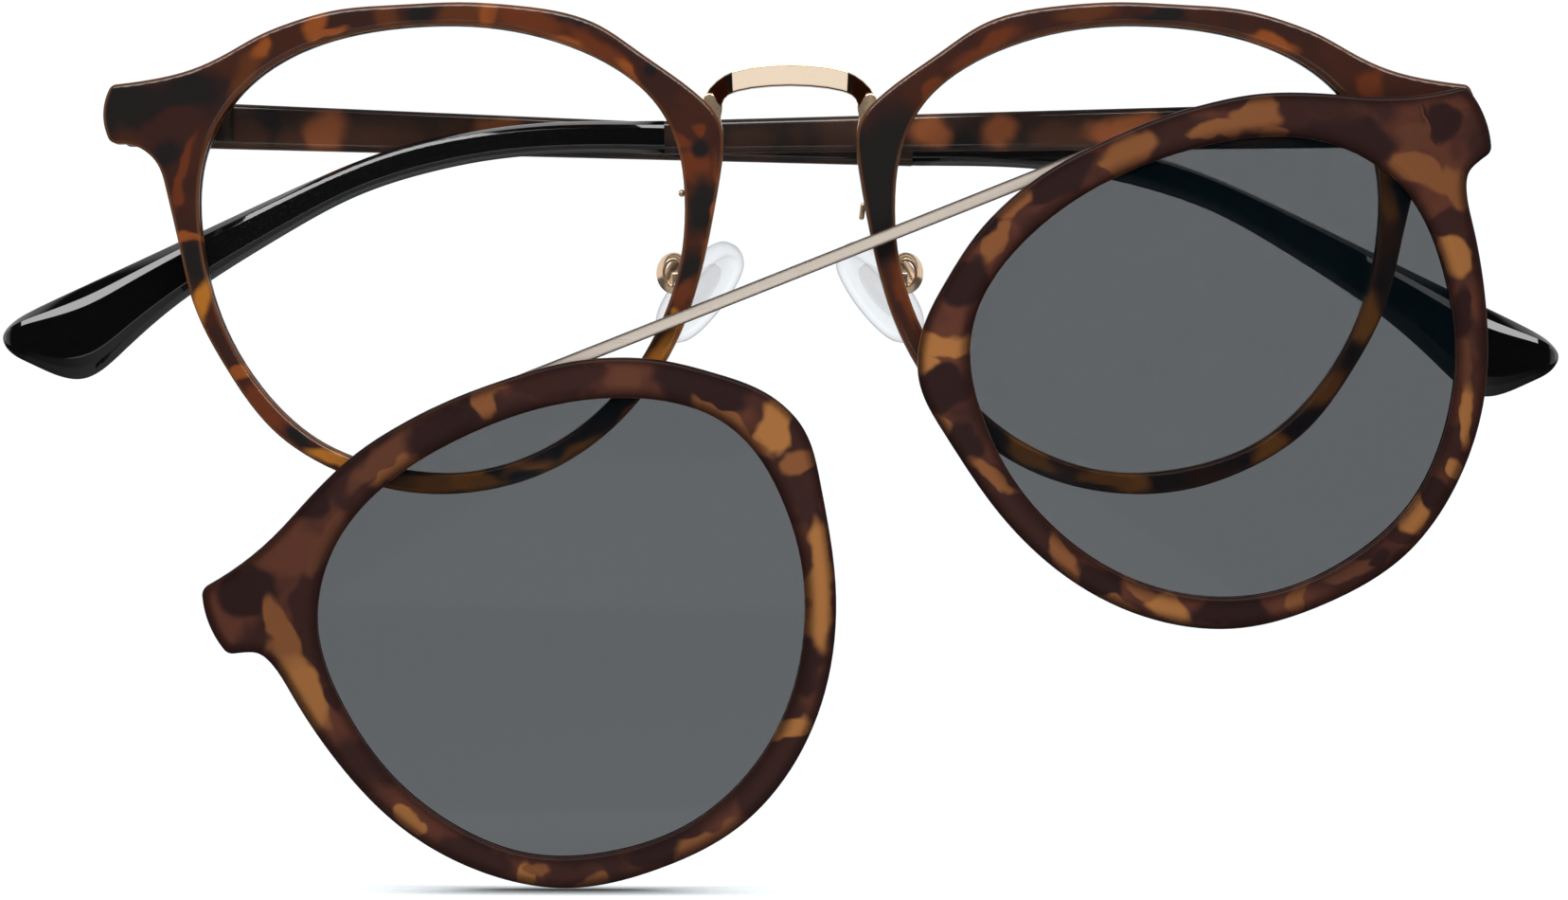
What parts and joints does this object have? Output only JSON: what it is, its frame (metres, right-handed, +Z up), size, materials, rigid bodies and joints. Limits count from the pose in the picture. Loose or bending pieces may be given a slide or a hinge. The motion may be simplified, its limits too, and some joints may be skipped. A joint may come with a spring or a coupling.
{
  "type": "eyeglass frame with a magnetic sun clip",
  "caption": "Round panto eyeglass frame with a metal bridge, nose pads on arms and folding temples, and a magnetic tinted sun clip that seats over its front.",
  "frame": {"origin": "midway between the centres of the two nose pads, where the front rests on the nose", "axes": "+Z up, +Y from the lenses towards the ears, +X to the right for a viewer who faces the lenses"},
  "size_m": [0.1571, 0.024, 0.0877],
  "materials": {
    "front_tortoise": "polished brown tortoise acetate",
    "temple_tortoise": "polished dark tortoise acetate",
    "clip_tortoise": "satin brown tortoise moulding",
    "clear_lens": "clear, hard coated",
    "grey_lens": "grey tint, polished",
    "champagne_gold": "polished champagne gold plate",
    "brushed_gold": "satin champagne gold plate",
    "gold_screw": "turned gold plate",
    "hinge_metal": "satin nickel silver",
    "magnet": "nickel plated",
    "clear_silicone": "clear soft silicone",
    "pad_core": "clear stiff plastic",
    "black_tip": "high gloss black acetate",
    "core_wire": "drawn wire"
  },
  "bodies": {
    "front": {"rim_left": "front_tortoise", "rim_right": "front_tortoise", "lens_left": "clear_lens", "lens_right": "clear_lens", "frame_magnet_left": "magnet", "frame_magnet_right": "magnet", "bridge": "champagne_gold", "bridge_screws": "gold_screw", "pad_arm_left": "champagne_gold", "pad_arm_right": "champagne_gold", "pad_arm_screws": "gold_screw", "pad_screw_left": "gold_screw", "pad_screw_right": "gold_screw", "front_hinge_left": "hinge_metal", "front_hinge_right": "hinge_metal", "hinge_screw_left": "gold_screw", "hinge_screw_right": "gold_screw", "hinge_rivets": "hinge_metal"},
    "left_temple": {"temple_left": "temple_tortoise", "temple_tip_left": "black_tip", "temple_core_left": "core_wire", "temple_rivets_left": "hinge_metal", "temple_hinge_left": "hinge_metal"},
    "right_temple": {"temple_right": "temple_tortoise", "temple_tip_right": "black_tip", "temple_core_right": "core_wire", "temple_rivets_right": "hinge_metal", "temple_hinge_right": "hinge_metal"},
    "left_nose_pad": {"nose_pad_left": "clear_silicone", "pad_insert_left": "pad_core"},
    "right_nose_pad": {"nose_pad_right": "clear_silicone", "pad_insert_right": "pad_core"},
    "clip": {"clip_rim_left": "clip_tortoise", "clip_rim_right": "clip_tortoise", "clip_lens_left": "grey_lens", "clip_lens_right": "grey_lens", "clip_magnet_left": "magnet", "clip_magnet_right": "magnet", "clip_bar": "brushed_gold", "clip_rivets": "brushed_gold"}
  },
  "joints": [
    {"name": "left_temple_hinge", "type": "hinge", "parent": "front", "child": "left_temple", "pos_m": [-0.0644, 0.00119, 0.017], "axis": [0, 0, 1], "range_deg": [0, 87]},
    {"name": "right_temple_hinge", "type": "hinge", "parent": "front", "child": "right_temple", "pos_m": [0.0644, 0.00119, 0.017], "axis": [0, 0, -1], "range_deg": [0, 91.2]},
    {"name": "left_pad_tilt", "type": "hinge", "parent": "front", "child": "left_nose_pad", "pos_m": [-0.01071, -0.00177, 0.0013], "axis": [0.5065, -0.766, -0.3957], "range_deg": [-10, 10]},
    {"name": "right_pad_tilt", "type": "hinge", "parent": "front", "child": "right_nose_pad", "pos_m": [0.01071, -0.00177, 0.0013], "axis": [0.5065, 0.766, 0.3957], "range_deg": [-10, 10]},
    {"name": "clip_seat", "type": "hinge", "parent": "front", "child": "clip", "pos_m": [0.07042, -0.00437, 0.01975], "axis": [-0.1408, 0.9895, -0.0313], "range_deg": [0, 21.89]}
  ]
}
